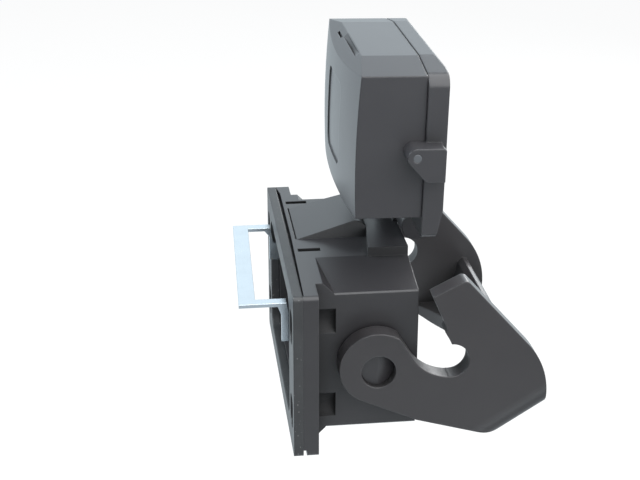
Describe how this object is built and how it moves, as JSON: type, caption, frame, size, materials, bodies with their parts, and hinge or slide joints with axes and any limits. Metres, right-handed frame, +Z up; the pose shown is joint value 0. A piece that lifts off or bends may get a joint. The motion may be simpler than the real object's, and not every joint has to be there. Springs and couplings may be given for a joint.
{
  "type": "connector housing",
  "caption": "Panel-mount heavy-duty rectangular connector housing with a swing locking lever, a flip-up protective cover, a flange gasket and an earthing bow.",
  "frame": {"origin": "middle of the flange's screw pattern, on the flange's back face where the gasket lies", "axes": "+X out of the panel, the way a mating hood leaves; +Y along the flange; +Z up, towards the cover's hinge"},
  "size_m": [0.0802, 0.0824, 0.1011],
  "materials": {
    "housing_plastic": "fine moulded texture, charcoal",
    "lever_plastic": "fine moulded texture, charcoal",
    "cover_plastic": "fine moulded texture, charcoal",
    "rubber": "matte black rubber",
    "brass": "turned",
    "zinc": "bright zinc plate",
    "steel": "plain steel"
  },
  "bodies": {
    "base": {"base_housing": "housing_plastic", "panel_gasket": "rubber", "mouth_seal": "rubber", "threaded_inserts": "brass", "earth_bracket": "zinc", "earth_screws": "zinc", "earth_washers": "zinc", "hinge_pin": "steel"},
    "lever": {"locking_lever": "lever_plastic"},
    "cover": {"cover_shell": "cover_plastic", "cover_frame": "cover_plastic", "near_lock_pin": "steel", "far_lock_pin": "steel"}
  },
  "joints": [
    {"name": "cover_hinge", "type": "hinge", "parent": "base", "child": "cover", "pos_m": [0.0338, 0, 0.029], "axis": [0, 1, 0], "range_deg": [0, 178.9]},
    {"name": "lever_pivot", "type": "hinge", "parent": "base", "child": "lever", "pos_m": [0.0197, 0, 0], "axis": [0, 1, 0], "range_deg": [0, 80.5]}
  ],
  "couplings": [
    {"joint": "lever_pivot", "follows": "cover_hinge", "ratio": 0.447}
  ]
}
